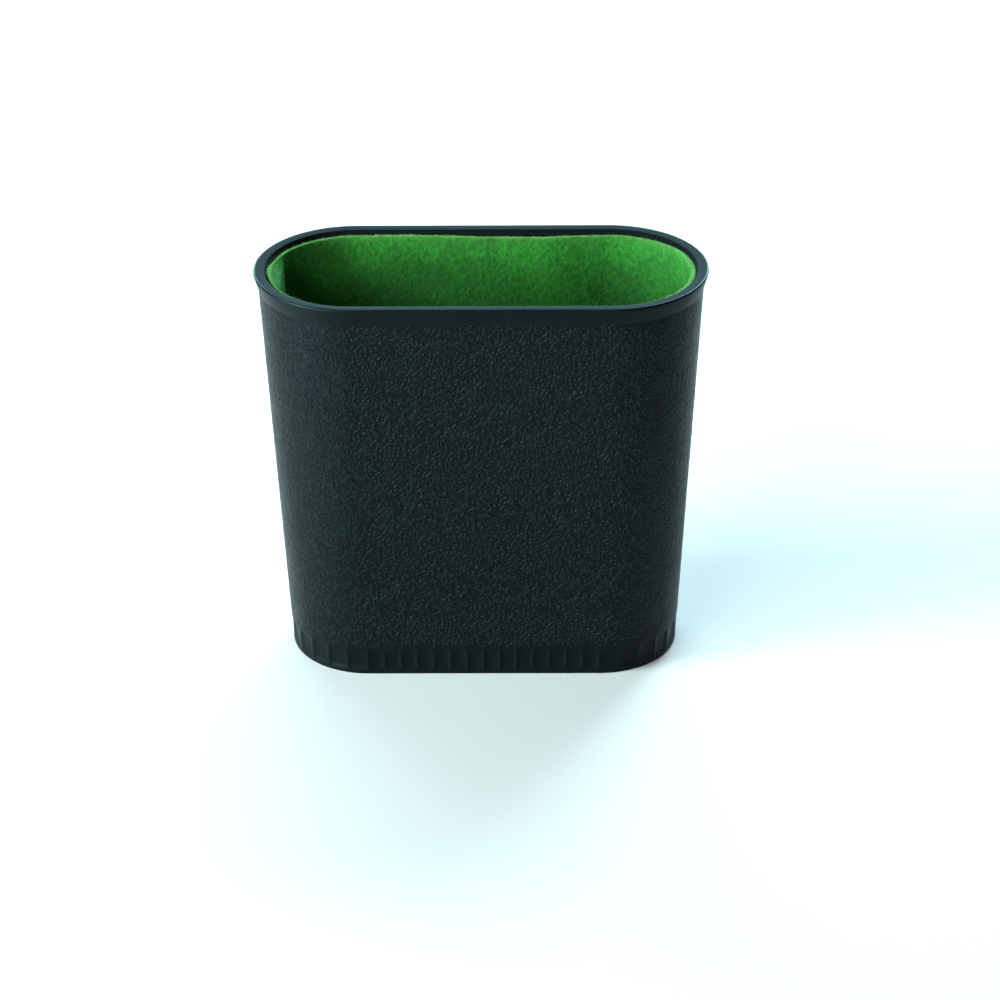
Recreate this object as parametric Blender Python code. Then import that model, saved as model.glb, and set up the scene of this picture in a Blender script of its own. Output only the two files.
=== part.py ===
"""An oval dice cup: a moulded shell with a flared mouth and a fluted base, lined with felt on card.

Units are metres, +Z is up, and the cup stands on z = 0 with its long side along X.
The wall is an oval of two straight sides and two half-round ends, and every piece follows it.
"""

import math

import bmesh
import bpy
from mathutils import Vector

MM = 0.001

# The wall's outer face: an oval that grows evenly from the base to the rim.
HEIGHT = 75.5 * MM
RIM_HALF_STRAIGHT = 22.5 * MM
RIM_RADIUS = 16.95 * MM
BASE_HALF_STRAIGHT = 21.05 * MM
BASE_RADIUS = 14.6 * MM

# The shell
WALL = 1.5 * MM
FLOOR_TOP = 2.0 * MM
FLOOR_CORNER = 0.25 * MM
FOOT_WIDTH = 2.0 * MM
FOOT_HEIGHT = 0.8 * MM
FOOT_DRAFT = 0.2 * MM
BASE_EDGE = 0.25 * MM

# The fluted band round the base: shallow hollows between narrow ribs that are flush with the wall.
# Widths round the oval are shares of the pitch from one rib to the next.
RIBS_ALONG_SIDE = 14
RIBS_ROUND_END = 12
RIB_FLANK = 0.17
FLUTE_MIDDLE = 0.5
FLUTE_FLATNESS = 4
FLUTE_DEPTH = 0.3 * MM
FLUTE_BOTTOM = 0.6 * MM
FLUTE_LOWER_END = 1.2 * MM
FLUTE_TOP = 5.4 * MM
FLUTE_UPPER_END = 0.4 * MM

# The smooth band round the mouth: a step out, a slight flare and a rounded edge.
BAND_HEIGHT = 3.2 * MM
BAND_STEP = 0.2 * MM
BAND_STEP_RISE = 0.15 * MM
BAND_FLARE = 0.7 * MM
BAND_EDGE = 0.5 * MM
RIM_OUTER = 0.2 * MM
RIM_INNER = 1.05 * MM
RIM_FALL = 0.12 * MM
MOUTH_INSET = 1.25 * MM
MOUTH_EDGE = 0.2 * MM
MOUTH_DEPTH = 0.75 * MM

# The lining: felt on card, with a gap between pieces that touch.
GAP = 0.3 * MM
CARD = 0.4 * MM
FELT = 1.0 * MM
FELT_BELOW_RIM = 1.15 * MM
CARD_BELOW_FELT = 0.5 * MM
LINING_STEPS = 2
LINING_SPLIT = 0.15 * MM

HALF_TURN = RIBS_ALONG_SIDE + RIBS_ROUND_END
FULL_TURN = 2 * HALF_TURN
LEFT_END = FULL_TURN - RIBS_ROUND_END / 2

SMOOTH_ANGLE = math.radians(32.0)


def clear_scene():
    """Start from an empty scene."""
    for item in list(bpy.data.objects):
        bpy.data.objects.remove(item, do_unlink=True)


def wall_point(station, height, outset):
    """A point beside the wall, at a rib station round the oval and at a height.

    Stations count ribs from the front left corner, along the front, round the right end and so on.
    A positive outset moves the point out from the wall's outer face, a negative one moves it in.
    """
    rise = height / HEIGHT
    half_straight = BASE_HALF_STRAIGHT + rise * (RIM_HALF_STRAIGHT - BASE_HALF_STRAIGHT)
    radius = BASE_RADIUS + rise * (RIM_RADIUS - BASE_RADIUS) + outset
    station = station % FULL_TURN
    side = 1.0 if station < HALF_TURN else -1.0
    step = station % HALF_TURN
    if step < RIBS_ALONG_SIDE:
        x = half_straight * (2.0 * step / RIBS_ALONG_SIDE - 1.0)
        y = -radius
    else:
        angle = math.pi * ((step - RIBS_ALONG_SIDE) / RIBS_ROUND_END - 0.5)
        x = half_straight + radius * math.cos(angle)
        y = radius * math.sin(angle)
    return Vector((side * x, side * y, height))


def make_material(name, color, roughness):
    """A plain Principled material."""
    material = bpy.data.materials.new(name)
    material.use_nodes = True
    shader = material.node_tree.nodes["Principled BSDF"]
    shader.inputs["Base Color"].default_value = (*color, 1.0)
    shader.inputs["Roughness"].default_value = roughness
    shader.inputs["Metallic"].default_value = 0.0
    material.diffuse_color = (*color, 1.0)
    return material


def loft(name, rows, material):
    """A closed solid through rows of points, each row a closed loop, with the two end rows filled."""
    mesh = bmesh.new()
    loops = [[mesh.verts.new(point) for point in row] for row in rows]
    count = len(loops[0])
    for lower, upper in zip(loops, loops[1:]):
        for i in range(count):
            j = (i + 1) % count
            mesh.faces.new((lower[i], lower[j], upper[j], upper[i]))
    mesh.faces.new(loops[0])
    mesh.faces.new(loops[-1])
    bmesh.ops.recalc_face_normals(mesh, faces=mesh.faces)
    data = bpy.data.meshes.new(name)
    mesh.to_mesh(data)
    mesh.free()
    for polygon in data.polygons:
        polygon.use_smooth = True
    data.set_sharp_from_angle(angle=SMOOTH_ANGLE)
    data.materials.append(material)
    piece = bpy.data.objects.new(name, data)
    bpy.context.scene.collection.objects.link(piece)
    return piece


def fluted_row(height, outset, depth=0.0):
    """One row round the shell, with four points to a rib: its crest, its two flanks and the next flute."""
    row = []
    for rib in range(FULL_TURN):
        for share in (-RIB_FLANK, 0.0, RIB_FLANK, FLUTE_MIDDLE):
            hollow = 1.0 - (1.0 - 2.0 * abs(share)) ** FLUTE_FLATNESS
            row.append(wall_point(rib + share, height, outset - depth * hollow))
    return row


def make_shell(material):
    """The moulded cup, from the recess under its floor, up the outside, over the rim and down inside."""
    band_bottom = HEIGHT - BAND_HEIGHT
    foot_inner = BASE_EDGE + FOOT_WIDTH
    profile = [
        (FOOT_HEIGHT, -foot_inner - FOOT_DRAFT, 0.0),
        (0.0, -foot_inner, 0.0),
        (0.0, -BASE_EDGE, 0.0),
        (BASE_EDGE, 0.0, 0.0),
        (FLUTE_BOTTOM, 0.0, 0.0),
        (FLUTE_BOTTOM + FLUTE_LOWER_END, 0.0, FLUTE_DEPTH),
        (FLUTE_TOP - FLUTE_UPPER_END, 0.0, FLUTE_DEPTH),
        (FLUTE_TOP, 0.0, 0.0),
        (band_bottom, 0.0, 0.0),
        (band_bottom + BAND_STEP_RISE, BAND_STEP, 0.0),
        (HEIGHT - BAND_EDGE, BAND_FLARE, 0.0),
        (HEIGHT, RIM_OUTER, 0.0),
        (HEIGHT - RIM_FALL, -RIM_INNER, 0.0),
        (HEIGHT - RIM_FALL - MOUTH_EDGE, -MOUTH_INSET, 0.0),
        (HEIGHT - MOUTH_DEPTH, -MOUTH_INSET, 0.0),
        (HEIGHT - MOUTH_DEPTH - (WALL - MOUTH_INSET), -WALL, 0.0),
        (FLOOR_TOP + FLOOR_CORNER, -WALL, 0.0),
        (FLOOR_TOP, -WALL - FLOOR_CORNER, 0.0),
    ]
    rows = [fluted_row(height, outset, depth) for height, outset, depth in profile]
    return loft("cup_shell", rows, material)


def make_pad(name, bottom, thickness, material):
    """A flat pad that fills the floor inside the wall."""
    inset = -(WALL + GAP)
    steps = range(FULL_TURN * LINING_STEPS)
    rows = []
    for height in (bottom, bottom + thickness):
        rows.append([wall_point(i / LINING_STEPS, height, inset) for i in steps])
    return loft(name, rows, material)


def make_strip(name, bottom, top, depth, thickness, material):
    """A strip round the inside of the wall, open by a narrow split at the left end."""
    split = LINING_SPLIT * RIBS_ROUND_END / (math.pi * RIM_RADIUS)
    steps = FULL_TURN * LINING_STEPS
    stations = [LEFT_END + split]
    stations += [LEFT_END + i / LINING_STEPS for i in range(1, steps)]
    stations += [LEFT_END + FULL_TURN - split]
    rows = []
    for station in stations:
        rows.append([
            wall_point(station, bottom, -depth),
            wall_point(station, top, -depth),
            wall_point(station, top, -depth - thickness),
            wall_point(station, bottom, -depth - thickness),
        ])
    return loft(name, rows, material)


def make_lining(card, felt):
    """The floor pad and the wall strip that stands on it, each a felt face on a card backing."""
    pad_card = FLOOR_TOP + GAP
    pad_felt = pad_card + CARD + GAP
    make_pad("floor_backing", pad_card, CARD, card)
    make_pad("floor_felt", pad_felt, FELT, felt)
    strip_bottom = pad_felt + FELT + GAP
    felt_top = HEIGHT - FELT_BELOW_RIM
    card_depth = WALL + GAP
    felt_depth = card_depth + CARD + GAP
    make_strip("wall_backing", strip_bottom, felt_top - CARD_BELOW_FELT, card_depth, CARD, card)
    make_strip("wall_felt", strip_bottom, felt_top, felt_depth, FELT, felt)


def main():
    """Build every piece of the cup."""
    clear_scene()
    make_shell(make_material("moulded_shell", (0.016, 0.022, 0.024), 0.42))
    make_lining(
        make_material("lining_card", (0.03, 0.05, 0.035), 0.85),
        make_material("lining_felt", (0.022, 0.20, 0.032), 0.95),
    )


main()
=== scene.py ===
"""The looks of an oval dice cup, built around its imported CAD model.

The moulded shell is one mesh of rows lofted round the oval, with its ribs, lip and leather grain in the
geometry. The lining is felt on card: a wall strip that meets itself at the left end, and a floor pad.
Lengths are metres in the frame's axes, with the cup's long side along X. MM turns millimetres into metres.
"""

import math

import bpy
import numpy as np
from mathutils import Matrix, Vector, noise


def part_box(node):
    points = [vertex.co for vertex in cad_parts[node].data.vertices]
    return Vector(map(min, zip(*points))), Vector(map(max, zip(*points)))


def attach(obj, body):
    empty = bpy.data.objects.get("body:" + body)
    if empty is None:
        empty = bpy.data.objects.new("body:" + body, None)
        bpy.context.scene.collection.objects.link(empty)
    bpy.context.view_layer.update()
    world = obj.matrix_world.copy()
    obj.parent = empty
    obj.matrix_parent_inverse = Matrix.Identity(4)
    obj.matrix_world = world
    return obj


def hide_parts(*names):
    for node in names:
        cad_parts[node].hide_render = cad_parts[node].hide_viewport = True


MM = 0.001
SEED = 11

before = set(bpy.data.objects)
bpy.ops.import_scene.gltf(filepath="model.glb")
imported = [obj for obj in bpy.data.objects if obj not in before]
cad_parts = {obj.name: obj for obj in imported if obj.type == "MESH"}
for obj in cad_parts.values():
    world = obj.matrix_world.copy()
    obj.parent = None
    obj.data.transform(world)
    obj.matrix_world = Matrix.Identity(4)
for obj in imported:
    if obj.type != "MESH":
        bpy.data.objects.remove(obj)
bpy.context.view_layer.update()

# ---------------------------------------------------------------- sizes, from the frame and the CAD's design

WALL = 1.5 * MM
GAP = 0.3 * MM
FLARE = 0.7 * MM
FLARE_BELOW_RIM = 0.5 * MM

shell_low, shell_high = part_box("cup_shell")
pad_low, pad_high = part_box("floor_felt")
card_low, card_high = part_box("floor_backing")
strip_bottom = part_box("wall_felt")[0].z

HEIGHT = shell_high.z
FLOOR_TOP = card_low.z - GAP

# The wall's outer face is an oval that grows evenly with height. Two pieces give it at two heights.
LOW_LEVEL = pad_high.z
LOW_HALF_STRAIGHT = pad_high.x - pad_high.y
LOW_RADIUS = pad_high.y + WALL + GAP
HIGH_LEVEL = HEIGHT - FLARE_BELOW_RIM
HIGH_HALF_STRAIGHT = shell_high.x - shell_high.y
HIGH_RADIUS = shell_high.y - FLARE

# Stations count ribs round the oval from its front left corner.
RIBS_ALONG_SIDE = 14
RIBS_ROUND_END = 12
HALF_TURN = RIBS_ALONG_SIDE + RIBS_ROUND_END
FULL_TURN = 2 * HALF_TURN
LEFT_END = FULL_TURN - RIBS_ROUND_END / 2
RIGHT_END = HALF_TURN - RIBS_ROUND_END / 2

# Foot: a flat ring round a recess
FOOT_EDGE = 0.22 * MM
FOOT_RING = 2.4 * MM
RECESS = 0.8 * MM

# Fluted band: hollows between ribs that are flush with the wall. The rounding is a share of a rib's pitch.
FLUTE_BOTTOM = 0.5 * MM
FLUTE_LOWER_END = 1.4 * MM
FLUTE_TOP = 5.4 * MM
FLUTE_UPPER_END = 0.4 * MM
FLUTE_DEPTH = 0.3 * MM
FLUTE_FLATNESS = 4
RIB_ROUNDING = 0.03

# Mouth band, from a small step up to the rim. Each pair is in millimetres: how far above the band's bottom
# or below the rim, and how far from the wall's outer face, outwards for the band and inwards for the others.
BAND_BOTTOM = HEIGHT - 3.2 * MM
BAND_FACE = ((0.15, 0.03), (0.3, 0.08), (0.5, 0.15), (0.75, 0.22), (1.2, 0.33), (2.2, 0.54))
RIM_TOP = ((0.02, 0.2), (0.06, 0.6))
RIM_EDGE = 0.38 * MM
RIM_FALL = 0.1 * MM
LIP_EDGE = 0.22 * MM
LIP_INSET = 1.25 * MM
LIP_UNDERSIDE = ((0.75, 1.25), (0.87, 1.3), (0.97, 1.44), (1.1, 1.5))

# Leather grain, between the fluted band and the mouth band. Islands and the breaks in them are per metre.
GRAIN_FADE = 0.8 * MM
GRAIN_RELIEF = 0.03 * MM
GRAIN_ISLANDS = 640.0
GRAIN_BREAKS = 1150.0
GRAIN_BREAKS_SHARE = 0.4
GRAIN_SHOULDER = 0.42

# The shell's mesh. Columns are shares of a rib's pitch: crowded at the crests in the fluted band, even above.
GRAIN_ROW = 0.505 * MM
CROWDED_COLUMNS = np.array([-0.2, -0.11, -0.05, 0.0, 0.05, 0.11, 0.2, 0.35, 0.5, 0.65])
COLUMNS_PER_RIB = len(CROWDED_COLUMNS)
EVEN_COLUMNS = np.arange(COLUMNS_PER_RIB) / COLUMNS_PER_RIB - 0.3
COLUMNS_SPREAD = 2.0 * MM

# Lining. An outset is from the wall's outer face, a drop is below the rim or below the felt's edge, a column
# is the mesh's spacing along a strip, and the split is from the join to each end of the strip.
FELT = 0.55 * MM
CARD = 0.25 * MM
CARD_OUTSET = -(WALL + 0.03 * MM)
FELT_OUTSET = -1.85 * MM
FELT_DROP = 0.85 * MM
FELT_FRONT_DROP = 0.35 * MM
CARD_DROP = 2.0 * MM
FELT_COLUMN = 0.5 * MM
CARD_COLUMN = 1.5 * MM
STRIP_SPLIT = 0.1 * MM

# The felt's cut edge: waves as millimetres, waves round the cup and radians, a lower stretch along the front
# between four stations, a dip at the back, and a tip at the join. The nose is its rounding.
EDGE_WAVES = ((0.07, 3.0, 0.4), (0.05, 7.0, 2.1), (0.03, 17.0, 0.0), (0.02, 31.0, 1.0))
FRONT_LEAD = 3.0
FRONT_STATIONS = (-2.0, 0.5, RIBS_ALONG_SIDE - 1.0, RIBS_ALONG_SIDE + 2.0)
EDGE_DIP = 0.3 * MM
EDGE_DIP_STATION = 29.9
EDGE_DIP_WIDTH = 1.1
EDGE_TIP = 0.25 * MM
EDGE_TIP_DEGREES = 12.0
EDGE_NOSE = 0.22 * MM
EDGE_FULLNESS = 0.6
EDGE_REACH = 0.6 * MM

# The lean along the rear: where it starts, is full, begins to settle and ends, in stations. It grows with
# height up to its full height.
LEAN = 0.75 * MM
LEAN_STATIONS = (HALF_TURN, 29.4, 29.6, 39.0)
LEAN_FULL_HEIGHT = 0.6 * HEIGHT

# The straight run across the left end: where it starts, is full, begins to fade and ends, below the cut edge
STRAIGHT_INSET = 1.6 * MM
STRAIGHT_DEGREES = 60.0
STRAIGHT_DEPTHS = (0.2 * MM, 1.6 * MM, 12.0 * MM, 40.0 * MM)

# The felt swells at the join, and its top is pushed back to the wall there and round the right end.
SWELL = 0.1 * MM
SWELL_DEGREES = 13.0
SWELL_DEPTH = 2.5 * MM
JOIN_PUSH = 0.4 * MM
JOIN_PUSH_DEGREES = 9.0
RIGHT_PUSH = 0.3 * MM
RIGHT_PUSH_DEGREES = 50.0

# Lumps in the felt: millimetres, lumps per metre, and where in the noise they are taken from
FELT_LUMPS = ((0.05, 260.0, 0.0), (0.045, 700.0, 5.0), (0.03, 1500.0, 9.0))

# Loose fibres. The root is how deep a fibre starts under the felt's surface, and the power crowds the wall's
# fibres towards its cut edge.
WALL_FIBRES = 34000
WALL_FIBRES_POWER = 1.6
WALL_FIBRES_TOP_GAP = 0.3 * MM
WALL_FIBRES_FLOOR_GAP = 0.5 * MM
EDGE_FIBRES = 6000
FIBRE_ROOT = 0.06 * MM


def oval(station, height, outset):
    """Points beside the wall, as arrays: a station round the oval, a height above the table, and an outset
    outwards from the wall's outer face."""
    station, height, outset = np.broadcast_arrays(station, height, outset)
    rise = (height - LOW_LEVEL) / (HIGH_LEVEL - LOW_LEVEL)
    half = LOW_HALF_STRAIGHT + rise * (HIGH_HALF_STRAIGHT - LOW_HALF_STRAIGHT)
    radius = LOW_RADIUS + rise * (HIGH_RADIUS - LOW_RADIUS) + outset
    side = np.where(np.mod(station, FULL_TURN) < HALF_TURN, 1.0, -1.0)
    step = np.mod(station, HALF_TURN)
    angle = math.pi * ((step - RIBS_ALONG_SIDE) / RIBS_ROUND_END - 0.5)
    straight = step < RIBS_ALONG_SIDE
    x = np.where(straight, half * (2.0 * step / RIBS_ALONG_SIDE - 1.0), half + radius * np.cos(angle))
    y = np.where(straight, -radius, radius * np.sin(angle))
    return np.stack([side * x, side * y, height], axis=-1)


def smooth_step(low, high, value):
    """0 below low, 1 above high, and a smooth rise between."""
    share = np.clip((value - low) / (high - low), 0.0, 1.0)
    return share * share * (3.0 - 2.0 * share)


def rise_and_fall(start, full, settle, end, value):
    """0 below start, 1 from full to settle, and 0 above end."""
    return smooth_step(start, full, value) * (1.0 - smooth_step(settle, end, value))


def hump(value, width):
    """1 at zero, and close to 0 two widths away on either side."""
    return np.exp(-((value / width) ** 2))


def unit(vectors):
    """The same directions with a length of 1."""
    return vectors / np.linalg.norm(vectors, axis=1)[:, None]


def perimeter(outset):
    """The distance round the oval at the mouth, at an outset from the wall's outer face."""
    return 4.0 * HIGH_HALF_STRAIGHT + 2.0 * math.pi * (HIGH_RADIUS + outset)


def noise_at(points, per_metre, offset=0.0):
    """Smooth noise from -1 to 1 at each point."""
    shift = Vector((offset, offset, offset))
    flat = points.reshape(-1, 3) * per_metre
    values = [noise.noise(Vector(point) + shift) for point in flat]
    return np.array(values).reshape(points.shape[:-1])


def loft(name, rows):
    """A closed mesh through rows of points. Each row is a closed loop, and the two end rows are filled."""
    count, width = rows.shape[:2]
    first = np.arange(count - 1)[:, None] * width
    here = np.arange(width)[None, :]
    after = (here + 1) % width
    corners = [first + here, first + after, first + width + after, first + width + here]
    faces = np.stack(corners, axis=-1).reshape(-1, 4).tolist()
    faces.append(list(range(width))[::-1])
    faces.append([(count - 1) * width + i for i in range(width)])
    mesh = bpy.data.meshes.new(name)
    mesh.from_pydata(rows.reshape(-1, 3).tolist(), [], faces)
    turn_outwards(mesh)
    mesh.shade_smooth()
    mesh.set_sharp_from_angle(angle=math.radians(50.0))
    return add_object(name, mesh)


def turn_outwards(mesh):
    """Flips a closed mesh if its faces look inwards, which shows as a volume below zero."""
    mesh.calc_loop_triangles()
    points = np.zeros(len(mesh.vertices) * 3)
    mesh.vertices.foreach_get("co", points)
    corners = np.zeros(len(mesh.loop_triangles) * 3, np.int32)
    mesh.loop_triangles.foreach_get("vertices", corners)
    a, b, c = points.reshape(-1, 3)[corners.reshape(-1, 3)].transpose(1, 0, 2)
    if (a * np.cross(b, c)).sum() < 0.0:
        mesh.flip_normals()


def add_object(name, data):
    """An object for a mesh, a light or a camera, in the scene."""
    thing = bpy.data.objects.new(name, data)
    bpy.context.scene.collection.objects.link(thing)
    return thing


def paint(piece, attribute, values):
    """A number at each vertex that the piece's material can read."""
    layer = piece.data.attributes.new(attribute, "FLOAT", "POINT")
    layer.data.foreach_set("value", np.asarray(values, np.float32).ravel())


# ---------------------------------------------------------------- the shell


def arc_rows(centre_height, centre_outset, radius, start, stop, count):
    """Rows of a rounded edge: points on an arc in the wall's section, angles in degrees from outwards."""
    rows = []
    for i in range(count):
        angle = math.radians(start + (stop - start) * i / (count - 1))
        rows.append((centre_height + radius * math.sin(angle), centre_outset + radius * math.cos(angle)))
    return rows


def foot_rows():
    """The recess under the floor, and the ring the cup stands on."""
    rows = [(RECESS, -FOOT_RING - 0.5 * MM), (RECESS - 0.1 * MM, -FOOT_RING - 0.25 * MM)]
    rows += [(0.1 * MM, -FOOT_RING - 0.1 * MM), (0.0, -FOOT_RING)]
    return rows + arc_rows(FOOT_EDGE, -FOOT_EDGE, FOOT_EDGE, -90.0, 0.0, 5)


def wall_rows():
    """The outside up to the mouth band: close rows at the flutes' two ends, then even rows for the grain."""
    flute_full = FLUTE_BOTTOM + FLUTE_LOWER_END
    flute_closes = FLUTE_TOP - FLUTE_UPPER_END
    heights = [FLUTE_BOTTOM + share * FLUTE_LOWER_END for share in (0.0, 0.15, 0.3, 0.5, 0.7, 0.85, 1.0)]
    heights += [flute_full + share * (flute_closes - flute_full) for share in (0.33, 0.67)]
    heights += [FLUTE_TOP - share * FLUTE_UPPER_END for share in (1.0, 0.8, 0.6, 0.4, 0.2, 0.0)]
    count = round((BAND_BOTTOM - FLUTE_TOP) / GRAIN_ROW)
    heights += [FLUTE_TOP + (BAND_BOTTOM - FLUTE_TOP) * i / count for i in range(1, count + 1)]
    return [(height, 0.0) for height in heights]


def mouth_rows():
    """The mouth band, the rim's rounded top and the lip inside it."""
    rows = [(BAND_BOTTOM + up * MM, out * MM) for up, out in BAND_FACE]
    rows += arc_rows(HEIGHT - RIM_EDGE, FLARE - RIM_EDGE, RIM_EDGE, 0.0, 88.0, 7)
    rows += [(HEIGHT - down * MM, -inwards * MM) for down, inwards in RIM_TOP]
    rows += arc_rows(HEIGHT - RIM_FALL - LIP_EDGE, LIP_EDGE - LIP_INSET, LIP_EDGE, 84.0, 180.0, 5)
    return rows + [(HEIGHT - down * MM, -inwards * MM) for down, inwards in LIP_UNDERSIDE]


def inside_rows():
    """The inside down to the floor, with a small bevel."""
    bevel = 0.25 * MM
    rows = [(FLOOR_TOP + share * (HEIGHT - FLOOR_TOP), -WALL) for share in (0.95, 0.75, 0.5, 0.25)]
    return rows + [(FLOOR_TOP + bevel, -WALL), (FLOOR_TOP, -WALL - bevel)]


def flute(station, height):
    """How deep the fluted band is cut at a place: nothing on a rib's narrow crest, most in mid flute."""
    away = np.abs(np.mod(station + 0.5, 1.0) - 0.5)
    away = np.sqrt(away**2 + RIB_ROUNDING**2) - RIB_ROUNDING
    hollow = 1.0 - (1.0 - 2.0 * away) ** FLUTE_FLATNESS
    full = FLUTE_BOTTOM + FLUTE_LOWER_END
    span = rise_and_fall(FLUTE_BOTTOM, full, FLUTE_TOP - FLUTE_UPPER_END, FLUTE_TOP, height)
    return FLUTE_DEPTH * span * hollow


def grain_relief(points):
    """The leather grain's larger relief, from 0 to 1: small raised islands with flat ground between."""
    islands = noise_at(points, GRAIN_ISLANDS)
    islands = islands + GRAIN_BREAKS_SHARE * noise_at(points, GRAIN_BREAKS, offset=7.3)
    return smooth_step(0.0, GRAIN_SHOULDER, islands)


def make_shell():
    """The moulded shell, lofted from the recess under the floor, up the outside and down the inside."""
    section = np.array(foot_rows() + wall_rows() + mouth_rows() + inside_rows())
    height = section[:, 0][:, None]
    in_band = 1.0 - smooth_step(FLUTE_TOP, FLUTE_TOP + COLUMNS_SPREAD, height)
    within = CROWDED_COLUMNS * in_band + EVEN_COLUMNS * (1.0 - in_band)
    station = np.arange(FULL_TURN)[None, :, None] + within[:, None, :]
    station = station.reshape(len(section), -1)
    height = np.broadcast_to(height, station.shape)
    outset = np.broadcast_to(section[:, 1][:, None], station.shape)
    outside = np.arange(len(section)) < np.argmax(section[:, 0])
    outside = np.broadcast_to(outside[:, None], station.shape)

    faded_in, faded_out = FLUTE_TOP + GRAIN_FADE, BAND_BOTTOM - GRAIN_FADE
    grain = rise_and_fall(FLUTE_TOP, faded_in, faded_out, BAND_BOTTOM, height) * outside
    points = oval(station, height, outset)
    relief = np.zeros(station.shape)
    rows = np.nonzero(grain.max(axis=1) > 0.0)[0]
    relief[rows] = grain_relief(points[rows])
    cut = flute(station, height) * outside
    points = oval(station, height, outset - cut + grain * relief * GRAIN_RELIEF)

    piece = loft("grained_shell", points)
    paint(piece, "grain", grain)
    paint(piece, "outside", outside)
    return piece


# ---------------------------------------------------------------- the lining


def from_left_end(station):
    """Degrees round the end from the lining's join, less than zero on the front side."""
    turned = np.mod(station - LEFT_END + HALF_TURN, FULL_TURN) - HALF_TURN
    return -turned * 180.0 / RIBS_ROUND_END


def from_right_end(station):
    """Degrees round the end from the right end."""
    turned = np.mod(station - RIGHT_END + HALF_TURN, FULL_TURN) - HALF_TURN
    return turned * 180.0 / RIBS_ROUND_END


def lining_top(station):
    """The height of the felt's cut edge, which waves a little, lies lower along the front, dips at the back
    and rises to a tip at the join."""
    around = 2.0 * math.pi * station / FULL_TURN
    waves = sum(size * np.sin(times * around + phase) for size, times, phase in EDGE_WAVES)
    dip = EDGE_DIP * hump(station - EDGE_DIP_STATION, EDGE_DIP_WIDTH)
    tip = EDGE_TIP * hump(from_left_end(station), EDGE_TIP_DEGREES)
    from_front = np.mod(station + FRONT_LEAD, FULL_TURN) - FRONT_LEAD
    front = rise_and_fall(*FRONT_STATIONS, from_front)
    return HEIGHT - FELT_DROP - FELT_FRONT_DROP * front + waves * MM - dip + tip


def bulge(station, height):
    """How far the strip stands off the wall. Along the rear it leans in, and settles back by the corners.
    Below its cut edge it also runs straight across the tight left end instead of following the curve."""
    lean = LEAN * rise_and_fall(*LEAN_STATIONS, station)
    lean = lean * smooth_step(strip_bottom, LEAN_FULL_HEIGHT, height)
    radius = HIGH_RADIUS + FELT_OUTSET - FELT
    turned = np.clip(from_left_end(station), -STRAIGHT_DEGREES, STRAIGHT_DEGREES)
    straight = np.maximum(radius - (radius - STRAIGHT_INSET) / np.cos(np.radians(turned)), 0.0)
    return lean + straight * rise_and_fall(*STRAIGHT_DEPTHS, lining_top(station) - height)


def join_swell(station, depth):
    """How much thicker the felt is near the join, at a depth below its cut edge."""
    return SWELL * hump(from_left_end(station), SWELL_DEGREES) * np.exp(-depth / SWELL_DEPTH)


def strip_stations(spacing):
    """Stations along a wall strip, from one side of the join round to the other."""
    split = STRIP_SPLIT * RIBS_ROUND_END / (math.pi * HIGH_RADIUS)
    count = round(perimeter(FELT_OUTSET) / spacing)
    return LEFT_END + np.linspace(split, FULL_TURN - split, count)


def felt_unevenness(points):
    """The felt's lumps and flattened places, in metres."""
    return MM * sum(size * noise_at(points, scale, offset) for size, scale, offset in FELT_LUMPS)


def make_wall_felt():
    """The felt strip round the wall: outer face, cut top edge, inner face and bottom edge in one loop."""
    stations = strip_stations(FELT_COLUMN)[:, None]
    top = lining_top(stations)
    shoulder = top - EDGE_NOSE - strip_bottom
    rise = np.linspace(0.0, 1.0, 9)[None, :]
    angle = np.radians(np.linspace(0.0, 180.0, 9)[None, 1:-1])
    fall = np.linspace(1.0, 0.0, 130)[None, :]

    # Outer face, pushed back to the wall in its top sixth
    push = RIGHT_PUSH * hump(from_right_end(stations), RIGHT_PUSH_DEGREES)
    push = push + JOIN_PUSH * hump(from_left_end(stations), JOIN_PUSH_DEGREES)
    outer_out = FELT_OUTSET + push * np.clip(6.0 * rise - 5.0, 0.0, 1.0)
    outer_height = strip_bottom + rise * shoulder

    # Inner face, swollen near the join
    inner_height = strip_bottom + fall * shoulder
    inner_out = FELT_OUTSET - FELT - join_swell(stations, top - inner_height)

    # Cut edge, rounded from one face to the other
    middle = 0.5 * (outer_out[:, -1:] + inner_out[:, :1])
    half = 0.5 * (outer_out[:, -1:] - inner_out[:, :1])
    edge_out = middle + half * np.cos(angle)
    edge_height = top - EDGE_NOSE + EDGE_NOSE * np.sin(angle) ** EDGE_FULLNESS

    height = np.concatenate([outer_height, edge_height, inner_height], axis=1)
    outset = np.concatenate([outer_out, edge_out, inner_out], axis=1)
    outset = outset - bulge(np.mod(stations, FULL_TURN), height)
    lumps = felt_unevenness(oval(stations, height, outset))
    lumps[:, :rise.size] = 0.0
    piece = loft("wall_lining_felt", oval(stations, height, outset + lumps))
    # Nearness to the cut edge, which the material paints lighter and yellower, partly as a painted highlight.
    paint(piece, "cut_edge", np.exp(-np.maximum(top - height, 0.0) / EDGE_REACH))
    return piece


def make_wall_card():
    """The stiff card behind the wall felt."""
    stations = strip_stations(CARD_COLUMN)[:, None]
    top = lining_top(stations) - CARD_DROP
    bottom = np.full_like(top, strip_bottom)
    height = np.concatenate([bottom, top, top, bottom], axis=1)
    outset = np.array([[CARD_OUTSET, CARD_OUTSET, CARD_OUTSET - CARD, CARD_OUTSET - CARD]])
    return loft("wall_lining_card", oval(stations, height, outset))


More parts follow.
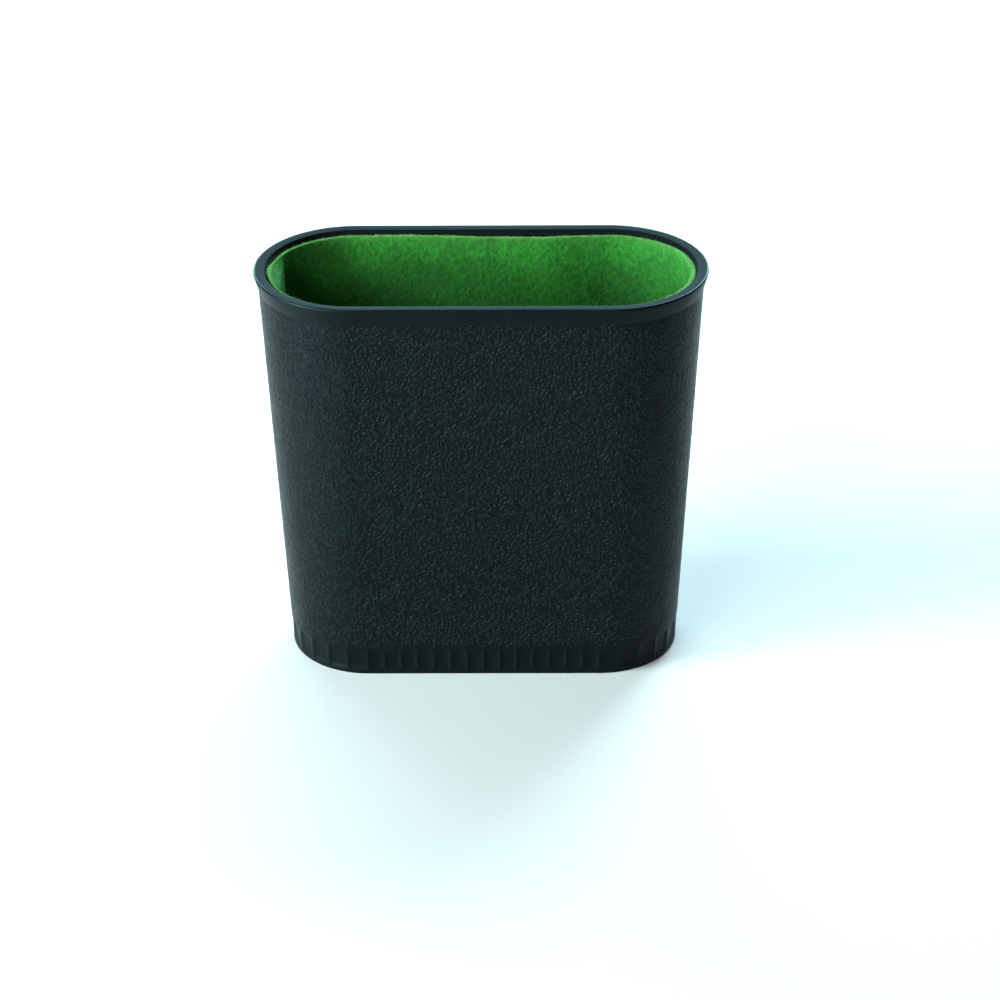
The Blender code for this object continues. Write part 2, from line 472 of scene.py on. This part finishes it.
def make_floor_felt():
    """The felt pad on the floor, uneven on top: rings up its side, over its edge and in to the middle."""
    stations = np.arange(0.0, FULL_TURN, 0.25)[None, :]
    side = -(WALL + GAP)
    edge = 0.25 * MM
    rings = [(pad_low.z, side), (pad_low.z + 0.3 * MM, side), (pad_high.z - edge, side)]
    first_on_top = len(rings)
    rings += [(pad_high.z, side - edge)]
    rings += [(pad_high.z, side - (LOW_RADIUS + side) * share) for share in np.linspace(0.06, 0.985, 28)]
    height, outset = np.array(rings).T[:, :, None]
    points = oval(stations, height, outset)
    points[first_on_top:, :, 2] += felt_unevenness(points)[first_on_top:]
    return loft("floor_lining_felt", points)


def make_floor_card():
    """The stiff card under the floor felt."""
    stations = np.arange(0.0, FULL_TURN, 0.5)[None, :]
    height = np.array([card_low.z, card_high.z])[:, None]
    return loft("floor_lining_card", oval(stations, height, -(WALL + GAP)))


def make_nap(name, roots, normals, along, seed, length, width, lift):
    """Loose fibres: thin three-sided spikes that lie along a felt face and rise a little from it. Length and
    width are ranges in metres, and lift is a range in radians."""
    draw = np.random.default_rng(seed)
    count = len(roots)
    turn = draw.uniform(0.0, 2.0 * math.pi, count)[:, None]
    across = np.cross(normals, along)
    lie = along * np.cos(turn) + across * np.sin(turn)
    rise = draw.uniform(*lift, count)[:, None]
    aim = lie * np.cos(rise) + normals * np.sin(rise)
    side = unit(np.cross(aim, normals))
    other = np.cross(aim, side)
    long = draw.uniform(*length, count)[:, None]
    wide = draw.uniform(*width, count)[:, None]

    foot = roots - normals * FIBRE_ROOT
    back, apart = 0.5 * wide * side, 0.87 * wide * other
    points = [foot + wide * side, foot - back + apart, foot - back - apart, foot + aim * long]
    points = np.stack(points, axis=1).reshape(-1, 3)
    spike = np.array([[0, 1, 2], [0, 3, 1], [1, 3, 2], [2, 3, 0]])
    faces = (len(spike) * np.arange(count)[:, None, None] + spike).reshape(-1, 3)
    mesh = bpy.data.meshes.new(name)
    mesh.from_pydata(points.tolist(), [], faces.tolist())
    turn_outwards(mesh)
    return add_object(name, mesh)


def wall_nap():
    """Fibres on the wall felt's inner face, thicker towards its cut top edge."""
    draw = np.random.default_rng(SEED)
    station = LEFT_END + draw.uniform(0.1, FULL_TURN - 0.1, WALL_FIBRES)
    depth = draw.uniform(0.0, 1.0, WALL_FIBRES) ** WALL_FIBRES_POWER
    top = lining_top(station)
    height = top - WALL_FIBRES_TOP_GAP - depth * (top - pad_high.z - WALL_FIBRES_FLOOR_GAP)
    outset = FELT_OUTSET - FELT - join_swell(station, top - height)
    outset = outset - bulge(np.mod(station, FULL_TURN), height)
    roots = oval(station, height, outset)
    normals = unit(oval(station, height, outset - 0.1 * MM) - roots)
    along = unit(np.cross((0.0, 0.0, 1.0), normals))
    return make_nap(
        "wall_felt_nap", roots, normals, along, SEED + 1,
        length=(0.35 * MM, 0.9 * MM), width=(0.02 * MM, 0.035 * MM), lift=(0.05, 0.5),
    )


def edge_nap():
    """Fibres that stand up from the wall felt's cut edge."""
    draw = np.random.default_rng(SEED + 2)
    station = LEFT_END + draw.uniform(0.05, FULL_TURN - 0.05, EDGE_FIBRES)
    across = draw.uniform(0.05, 0.95, EDGE_FIBRES)
    top = lining_top(station)
    outset = FELT_OUTSET - across * FELT - bulge(np.mod(station, FULL_TURN), top)
    roots = oval(station, top - 0.05 * MM, outset)
    normals = np.tile((0.0, 0.0, 1.0), (EDGE_FIBRES, 1))
    along = unit(oval(station + 0.05, top, FELT_OUTSET) - oval(station, top, FELT_OUTSET))
    return make_nap(
        "edge_felt_nap", roots, normals, along, SEED + 3,
        length=(0.15 * MM, 0.5 * MM), width=(0.018 * MM, 0.03 * MM), lift=(0.2, 1.3),
    )


# ---------------------------------------------------------------- materials


class Nodes:
    """A short way to write a material's node tree."""

    def __init__(self, name):
        self.material = bpy.data.materials.new(name)
        self.material.use_nodes = True
        self.tree = self.material.node_tree
        self.shader = self.tree.nodes["Principled BSDF"]
        self.place = self.add("ShaderNodeTexCoord").outputs["Object"]

    def add(self, kind, inputs=None, **settings):
        """A node with its settings, and its inputs set to numbers or linked to sockets."""
        node = self.tree.nodes.new(kind)
        for key, value in settings.items():
            setattr(node, key, value)
        for key, value in (inputs or {}).items():
            self.put(node.inputs[key], value)
        return node

    def put(self, socket, value):
        """Links an output to a socket, or sets the socket's own number."""
        if isinstance(value, bpy.types.NodeSocket):
            self.tree.links.new(value, socket)
        else:
            socket.default_value = value

    def height(self):
        """The height above the table."""
        return self.add("ShaderNodeSeparateXYZ", {"Vector": self.place}).outputs["Z"]

    def noise(self, per_metre, detail=2.0, rough=0.5, stretch=None):
        """Noise from 0 to 1, mostly between 0.3 and 0.7."""
        place = self.place
        if stretch:
            place = self.add("ShaderNodeMapping", {"Vector": place, "Scale": stretch}).outputs[0]
        inputs = {"Vector": place, "Scale": per_metre, "Detail": detail, "Roughness": rough}
        return self.add("ShaderNodeTexNoise", inputs).outputs["Fac"]

    def math(self, operation, first, second):
        """A Math node's result."""
        node = self.add("ShaderNodeMath", operation=operation)
        self.put(node.inputs[0], first)
        self.put(node.inputs[1], second)
        return node.outputs[0]

    def ramp(self, value, low, high, to_low=0.0, to_high=1.0):
        """A value taken smoothly from one range to another."""
        inputs = {0: value, 1: low, 2: high, 3: to_low, 4: to_high}
        return self.add("ShaderNodeMapRange", inputs, interpolation_type="SMOOTHSTEP").outputs[0]

    def mix(self, share, first, second):
        """A blend of two colours."""
        node = self.add("ShaderNodeMix", data_type="RGBA")
        self.put(node.inputs[0], share)
        for socket, value in ((node.inputs[6], first), (node.inputs[7], second)):
            self.put(socket, value if isinstance(value, bpy.types.NodeSocket) else (*value, 1.0))
        return node.outputs[2]

    def attribute(self, name):
        """A number painted on the mesh."""
        return self.add("ShaderNodeAttribute", attribute_name=name).outputs["Fac"]

    def bump(self, height, distance, strength=1.0, under=None):
        """A bump whose height, from 0 to 1, counts as a distance in metres. It may lie on top of another."""
        inputs = {"Height": height, "Distance": distance, "Strength": strength}
        if under is not None:
            inputs["Normal"] = under
        return self.add("ShaderNodeBump", inputs).outputs[0]

    def set(self, **values):
        """Sets the shader's inputs. A name's underscores are spaces in the socket's name."""
        for key, value in values.items():
            socket = self.shader.inputs[key.replace("_", " ")]
            if isinstance(value, tuple) and len(value) == 3:
                value = (*value, 1.0)
            self.put(socket, value)
        return self.material


def shell_material():
    """Moulded black plastic: satin, with fine leather grain where the mesh has its grain attribute, and dull
    inside. The grain's specks are where noise passes a threshold that plain areas hardly ever reach."""
    n = Nodes("moulded_shell")
    plain = n.math("MULTIPLY", n.math("SUBTRACT", 1.0, n.attribute("grain")), 0.4)
    specks = n.ramp(n.math("SUBTRACT", n.noise(1750.0, detail=0.0), plain), 0.46, 0.58)
    micro = n.bump(n.noise(5200.0, detail=3.0, rough=0.6), 0.003 * MM, 0.6)
    normal = n.bump(specks, 0.5 * MM, 1.0, micro)
    cloud = n.noise(55.0, detail=4.0, rough=0.6)
    color = n.mix(cloud, (0.0010, 0.0013, 0.0014), (0.0017, 0.0021, 0.0023))
    # The raised specks are painted lighter as well: a painted highlight on top of the bump's own.
    color = n.mix(n.math("MULTIPLY", specks, 0.3), color, (0.007, 0.010, 0.0105))
    color = n.mix(n.attribute("outside"), (0.0012, 0.0014, 0.0014), color)
    satin = n.ramp(n.noise(160.0, detail=4.0, rough=0.65), 0.3, 0.7, 0.37, 0.44)
    dull = n.ramp(n.attribute("outside"), 0.0, 1.0, 0.85, 0.0)
    return n.set(
        Base_Color=color, Roughness=n.math("MAXIMUM", satin, dull), Normal=normal,
        Specular_IOR_Level=0.1, Specular_Tint=(0.68, 0.88, 0.93),
    )


def felt_painted_shade(n):
    """Painted shade: the felt's colour at full strength at the mouth and darker lower down, to 0.4 of itself
    from 16 mm below the rim, standing in for the shade deep in the cup.
    """
    return n.ramp(n.height(), HEIGHT - 16.0 * MM, HEIGHT - 1.5 * MM, 0.4, 1.0)


def felt_material():
    """Green felt: matted fibres, lighter and yellower near the cut edge, partly the loose ends' own colour
    and partly a painted highlight, and darker lower down with painted shade.
    """
    n = Nodes("lining_felt")
    clumps = n.noise(1250.0, detail=3.0, rough=0.6, stretch=(1.0, 1.0, 0.85))
    broad = n.noise(110.0)
    fibre = n.noise(2600.0, detail=3.0, rough=0.7)
    shade = n.math("ADD", n.math("MULTIPLY", clumps, 0.65), n.math("MULTIPLY", broad, 0.35))
    color = n.mix(n.ramp(shade, 0.4, 0.62), (0.016, 0.080, 0.011), (0.022, 0.142, 0.013))
    color = n.mix(n.ramp(fibre, 0.52, 0.72, 0.0, 0.5), color, (0.032, 0.175, 0.022))
    # Painted shade: the felt darkens lower down in the cup.
    color = n.mix(felt_painted_shade(n), (0.0, 0.0, 0.0), color)
    # Lighter and yellower near the cut edge: partly the loose ends' own colour, partly a painted highlight.
    color = n.mix(n.math("MULTIPLY", n.attribute("cut_edge"), 0.4), color, (0.085, 0.180, 0.040))
    normal = n.bump(fibre, 0.08 * MM, 0.8, n.bump(clumps, 0.2 * MM))
    return n.set(
        Base_Color=color, Roughness=0.95, Normal=normal, Specular_IOR_Level=0.1,
        Sheen_Weight=0.03, Sheen_Roughness=0.5, Sheen_Tint=(0.3, 0.8, 0.25),
    )


def nap_material(name, color):
    """Loose felt fibres, from half that colour to all of it."""
    n = Nodes(name)
    dim = tuple(0.5 * part for part in color)
    shade = n.mix(n.ramp(n.noise(900.0), 0.35, 0.65), dim, color)
    # Painted shade: the fibres darken lower down in the cup, like the felt.
    shade = n.mix(felt_painted_shade(n), (0.0, 0.0, 0.0), shade)
    return n.set(Base_Color=shade, Roughness=0.9, Specular_IOR_Level=0.05)


def card_material():
    """Dark uncoated card."""
    n = Nodes("lining_card")
    speck = n.noise(1500.0, detail=4.0, rough=0.7)
    color = n.mix(n.ramp(speck, 0.35, 0.65), (0.02, 0.028, 0.022), (0.05, 0.06, 0.045))
    return n.set(Base_Color=color, Roughness=0.9, Normal=n.bump(speck, 0.03 * MM))


# ---------------------------------------------------------------- stage, camera and light


def add_camera():
    """The main viewpoint: straight on to the long side and well above it. Angles are in radians."""
    distance = 600.0 * MM
    yaw, pitch, roll = 0.0096, 0.511, -0.007
    aim_right, aim_down = 3.06 * MM, 9.43 * MM
    middle = 0.5 * (shell_low + shell_high)
    aim = Vector((middle.x + aim_right, middle.y, middle.z - aim_down))
    back = Vector((math.sin(yaw) * math.cos(pitch), -math.cos(yaw) * math.cos(pitch), math.sin(pitch)))
    right = Vector((math.cos(yaw), math.sin(yaw), 0.0))
    up = back.cross(right)
    side = math.cos(roll) * right + math.sin(roll) * up
    top = -math.sin(roll) * right + math.cos(roll) * up
    data = bpy.data.cameras.new("camera")
    data.sensor_width = 36.0
    data.lens = 118.0
    data.clip_start = 10.0 * MM
    camera = add_object("camera", data)
    turn = Matrix((side, top, back)).transposed().to_4x4()
    camera.matrix_world = Matrix.Translation(aim + back * distance) @ turn
    bpy.context.scene.camera = camera


def add_light(name, spot, width, tall, power, color):
    """A soft rectangular light aimed at the cup's middle, with its power in watts."""
    data = bpy.data.lights.new(name, "AREA")
    data.shape = "RECTANGLE"
    data.size = width
    data.size_y = tall
    data.energy = power
    data.color = color
    light = add_object(name, data)
    target = Vector((0.0, 0.0, 0.5 * HEIGHT))
    light.location = spot
    light.visible_camera = False
    light.rotation_mode = "QUATERNION"
    light.rotation_quaternion = (target - Vector(spot)).to_track_quat("-Z", "Y")


def add_floor():
    """A plain pale floor."""
    reach = 3.0
    mesh = bpy.data.meshes.new("floor")
    corners = [(-reach, -reach, 0.0), (reach, -reach, 0.0), (reach, reach, 0.0), (-reach, reach, 0.0)]
    mesh.from_pydata(corners, [], [(0, 1, 2, 3)])
    n = Nodes("pale_floor")
    mesh.materials.append(n.set(Base_Color=(0.395, 0.31, 0.30), Roughness=0.7, Specular_IOR_Level=0.2))
    floor = add_object("floor", mesh)


def add_studio():
    """Cool studio lights and a dim surround."""
    cool = (0.76, 0.98, 1.0)
    cooler = (0.58, 0.92, 1.0)
    add_light("left", (-0.74, -0.22, 0.53), 0.3, 0.3, 23.0, (0.60, 0.96, 1.0))
    add_light("back", (0.26, 0.52, 0.60), 0.24, 0.24, 9.5, cooler)
    add_light("low", (-0.31, -0.225, 0.09), 0.14, 0.10, 3.8, (0.56, 0.95, 1.0))
    add_light("front", (-0.42, -0.68, 0.55), 0.40, 0.40, 7.5, cool)
    add_light("backdrop", (0.0, 1.3, 0.5), 2.2, 1.1, 102.0, (0.47, 0.88, 1.0))

    world = bpy.data.worlds.new("surround")
    world.use_nodes = True
    background = world.node_tree.nodes["Background"]
    background.inputs["Color"].default_value = (*cool, 1.0)
    background.inputs["Strength"].default_value = 0.15
    bpy.context.scene.world = world
    bpy.context.scene.view_settings.view_transform = "Standard"


# ---------------------------------------------------------------- put together


def place(piece, node, slot, material):
    """Gives a piece its material and the cup's one body. It stands for a CAD node if one is named."""
    piece.data.materials.append(material)
    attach(piece, "root")
    if node:
        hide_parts(node)


add_camera()
add_floor()
add_studio()

place(make_shell(), "cup_shell", "shell", shell_material())
card = card_material()
place(make_wall_card(), "wall_backing", "card", card)
place(make_floor_card(), "floor_backing", "card", card)
felt = felt_material()
wall_felt = make_wall_felt()
place(wall_felt, "wall_felt", "felt", felt)
floor_felt = make_floor_felt()
place(floor_felt, "floor_felt", "felt", felt)
wall_fibres = wall_nap()
place(wall_fibres, None, "felt", nap_material("wall_nap", (0.025, 0.15, 0.014)))
edge_fibres = edge_nap()
# The edge fibres are lighter and yellower than the felt: partly their own colour, partly a painted highlight
# on the cut edge.
place(edge_fibres, None, "felt", nap_material("edge_nap", (0.22, 0.34, 0.11)))
